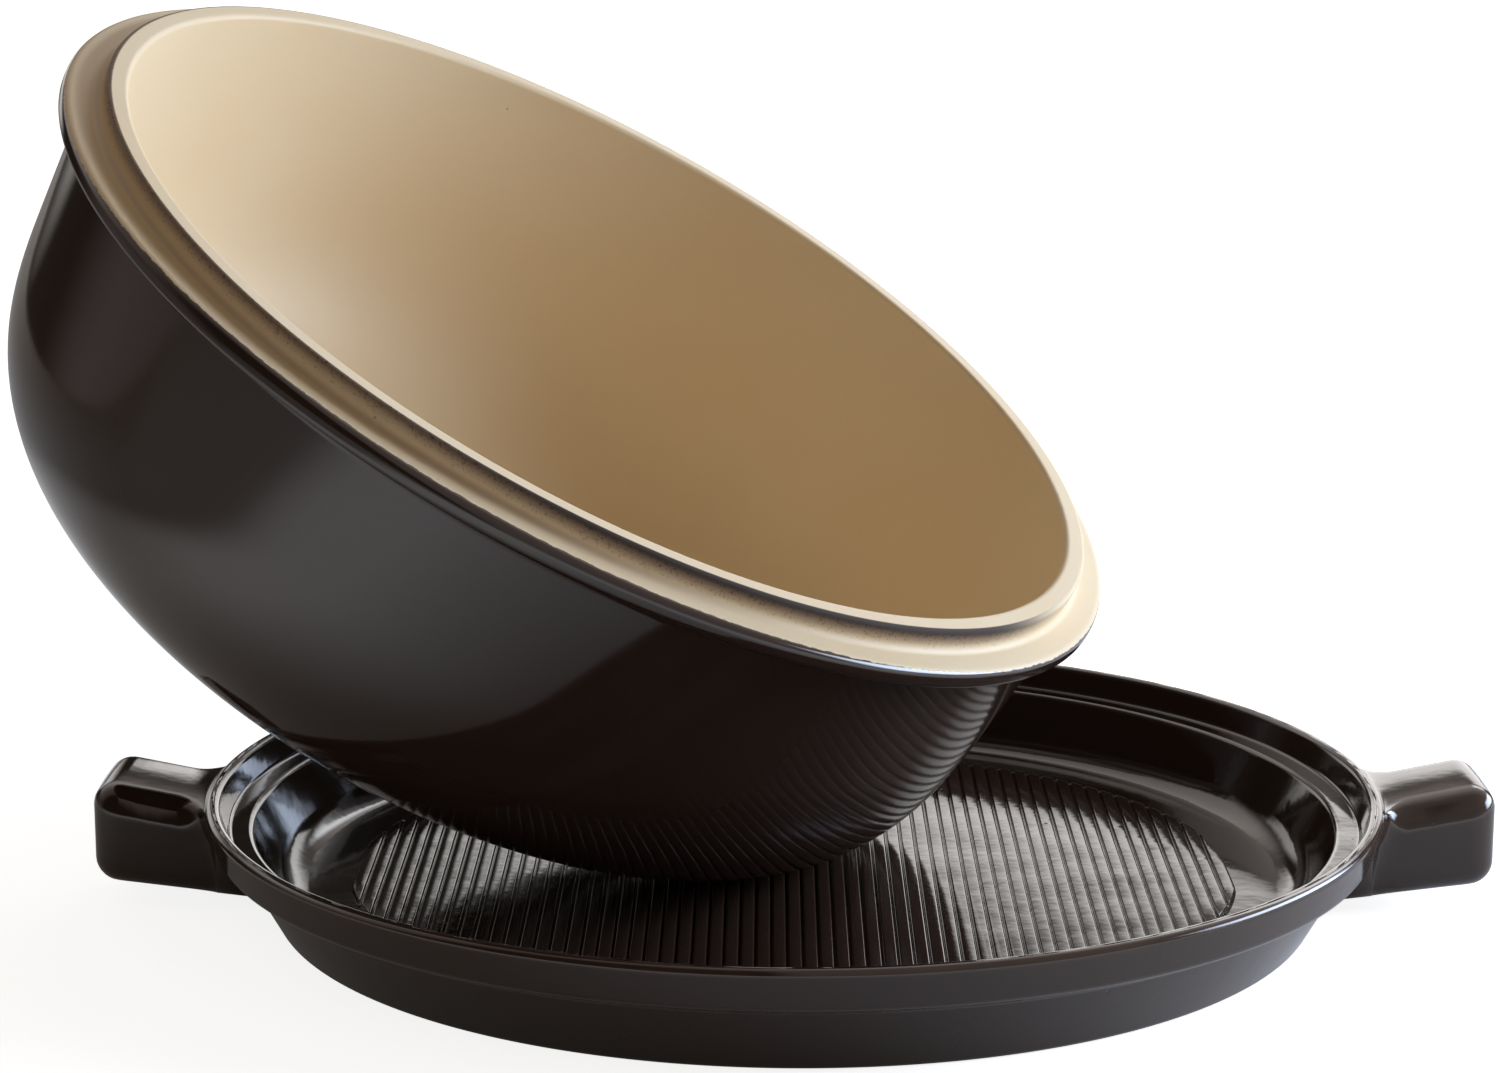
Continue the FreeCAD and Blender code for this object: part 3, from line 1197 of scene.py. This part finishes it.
@dataclass(frozen=True)
class Studio:
    """Pale floor, soft lamps and the camera at the photograph's angle.

    Spans over the floor are metres. Spans of the room are parts of a unit direction to the right, back or up.
    """

    floor_span: float = 30.0
    floor_colour: Colour = (0.80, 0.80, 0.80)
    floor_glow: float = 0.85
    glow_span: Span = (0.25, 1.3)
    # Glow of the floor in reflections, painted light and shade: a painted shadow by the foot, painted light
    # in front and to the right, dimmer far off, most on the left.
    foot_glow: float = 0.10
    right_glow: float = 0.40
    right_span: Span = (0.0, 0.10)
    front_glow: float = 0.92
    foot_span: Span = (0.13, 0.36)
    back_share: float = 0.30
    front_span: Span = (0.05, -0.24)
    far_shares: Span = (0.10, 0.47)
    far_turn: Span = (-0.15, 0.0)
    far_span: Span = (0.42, 0.65)
    horizon: Colour = (0.34, 0.28, 0.28)
    overhead: Colour = (0.165, 0.135, 0.105)
    horizon_span: Span = (0.02, 0.35)
    back: Colour = (0.030, 0.025, 0.020)
    back_span: Span = (0.25, 0.62)
    back_top: Span = (0.50, 0.28)
    ceiling: Colour = (0.55, 0.46, 0.41)
    ceiling_span: Span = (0.15, 0.55)
    upper_back: Colour = (1.30, 1.18, 1.12)
    upper_span: Span = (0.0, 0.65)
    front_left: Colour = (0.03, 0.025, 0.02)
    front_right: Colour = (0.50, 0.46, 0.45)
    front_turn: Span = (-0.12, 0.08)
    front_reach: Span = (0.0, -0.40)
    front_low: Span = (0.90, 0.05)
    front_top: Span = (1.60, 0.80)
    camera_place: tuple[float, float, float] = (-0.00634, -0.83333, 0.26283)
    camera_pitch: float = 11.814
    camera_yaw: float = 0.298
    camera_roll: float = 0.08
    camera_range: Span = (0.05, 100.0)
    lens: float = 85.13
    sensor: float = 36.0
    lamps: tuple[Softbox, ...] = (
        Softbox("window_right", (1.32, 0.27, 0.44), (1.5, 0.74), 47.0, tint=(0.85, 1.0, 1.27)),
        Softbox("wall_behind", (2.05, 10.0, 0.975), (6.75, 5.55), 258.0, tint=(1.0, 0.97, 0.95),
                feather=(0.08, 0.18)),
        Softbox("wall_left", (-4.5, 8.9, 1.9), (5.2, 3.8), 81.0, tint=(1.0, 0.97, 0.93)),
        Softbox("skylight", (3.76, 7.70, 5.15), (5.6, 3.84), 235.0, tint=(0.97, 1.0, 1.05)),
    )

    def mirrored(self, tree: Tree, where: NodeSocket, away: NodeSocket) -> NodeSocket:
        """The floor as the glaze mirrors it, with painted shade and light that only reflections see: a
        painted shadow dark by the foot, a painted pool of light in front, dim behind and far off.

        Args:
            tree: The floor's nodes.
            where: Place on the floor.
            away: Distance from the object's middle.

        Returns:
            The glow.
        """
        spot = tree.feed(tree.add("SeparateXYZ"), Vector=where)
        right = tree.ramp(spot.outputs["X"], *self.right_span)
        beside = tree.between(right, self.foot_glow, self.right_glow)
        level = tree.between(tree.ramp(away, *self.foot_span), beside, self.front_glow)
        front = tree.between(tree.ramp(spot.outputs["Y"], *self.front_span), self.back_share, 1.0)
        distant = tree.between(tree.ramp(spot.outputs["X"], *self.far_turn), *self.far_shares)
        far = tree.between(tree.ramp(away, *self.far_span), 1.0, distant)
        return tree.times(level, tree.times(front, far))

    def floor(self) -> None:
        """Lays a wide pale floor that shows white to the camera and keeps the shadow."""
        material, tree = node_material("pale_floor")
        path = tree.add("LightPath")
        where = tree.add("TexCoord").outputs["Object"]
        away = tree.feed(tree.add("VectorMath", operation="LENGTH"), i0=where).outputs["Value"]
        mirror = tree.maths("MAXIMUM", path.outputs["Is Glossy Ray"], path.outputs["Is Transmission Ray"])
        # Glossy rays see the floor's painted shadow by the foot and its painted pool of light in front.
        mirror = tree.times(mirror, self.mirrored(tree, where, away))
        bright = tree.between(tree.ramp(away, *self.glow_span), self.floor_glow, 1.0)
        seen = tree.times(path.outputs["Is Camera Ray"], bright)
        glow = tree.feed(tree.add("Emission"), Strength=tree.maths("MAXIMUM", seen, mirror))
        matte = tree.feed(tree.add("BsdfDiffuse"), Color=(*self.floor_colour, 1.0))
        both = tree.feed(tree.add("AddShader"), i0=glow.outputs[0], i1=matte.outputs[0])
        tree.feed(tree.add("OutputMaterial"), Surface=both.outputs[0])
        bm = bmesh.new()
        bmesh.ops.create_grid(bm, x_segments=1, y_segments=1, size=self.floor_span / 2)
        data = bpy.data.meshes.new("floor")
        bm.to_mesh(data)
        bm.free()
        data.materials.append(material)
        floor = bpy.data.objects.new("floor", data)
        bpy.context.scene.collection.objects.link(floor)

    def world(self) -> None:
        """Lights the room dimly all round, and paler where the glaze mirrors it; the camera sees it white."""
        world = bpy.data.worlds.new("studio")
        world.use_nodes = True
        tree = Tree(world.node_tree)
        path = tree.add("LightPath")
        mirror = path.outputs["Is Glossy Ray"]
        toward = tree.feed(tree.add("SeparateXYZ"), Vector=tree.add("TexCoord").outputs["Generated"])
        right, back, up = (toward.outputs[axis] for axis in "XYZ")
        room = tree.blend(tree.ramp(up, *self.horizon_span), self.horizon, self.overhead)
        above = tree.blend(tree.ramp(back, *self.upper_span), self.ceiling, self.upper_back)
        room = tree.blend(tree.times(mirror, tree.ramp(up, *self.ceiling_span)), room, above)
        turn = tree.ramp(right, *self.front_turn)
        sides = tree.blend(turn, self.front_left, self.front_right)
        fade = tree.ramp(up, tree.between(turn, *self.front_top), tree.between(turn, *self.front_low))
        ahead = tree.times(tree.ramp(back, *self.front_reach), fade)
        room = tree.blend(tree.times(ahead, mirror), room, sides)
        behind = tree.times(tree.ramp(back, *self.back_span), tree.ramp(up, *self.back_top))
        room = tree.blend(behind, room, self.back)
        colour = tree.blend(path.outputs["Is Camera Ray"], room, WHITE)
        air = tree.feed(tree.add("Background"), Color=colour, Strength=1.0)
        tree.feed(tree.add("OutputWorld"), Surface=air.outputs[0])
        bpy.context.scene.world = world

    def camera(self) -> None:
        """Sets the camera at the photograph's place and angle."""
        lens = bpy.data.cameras.new("camera")
        lens.sensor_fit = "HORIZONTAL"
        lens.sensor_width = self.sensor
        lens.lens = self.lens
        lens.clip_start, lens.clip_end = self.camera_range
        camera = bpy.data.objects.new("camera", lens)
        turn = Matrix.Rotation(math.radians(self.camera_yaw), 4, "Z")
        nod = Matrix.Rotation(math.radians(90.0 - self.camera_pitch), 4, "X")
        roll = Matrix.Rotation(math.radians(self.camera_roll), 4, "Z")
        camera.matrix_world = Matrix.Translation(self.camera_place) @ turn @ nod @ roll
        bpy.context.scene.collection.objects.link(camera)
        bpy.context.scene.camera = camera

    def build(self) -> None:
        """Sets up the whole studio."""
        bpy.context.scene.view_settings.view_transform = "Standard"
        self.floor()
        self.world()
        self.camera()
        for lamp in self.lamps:
            lamp.build()


def main() -> None:
    """Loads the frame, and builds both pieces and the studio."""
    logging.basicConfig(level=logging.INFO, format="%(name)s: %(message)s")
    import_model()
    effects = EffectGroups()
    base = Base().build(DarkGlaze().material(effects))
    dome = Dome().build(TwoToneGlaze(), effects)
    for piece in (base, dome):
        LOG.info("%s has %d faces", piece.name, len(piece.data.polygons))
    Studio().build()


if __name__ == "__main__":
    main()
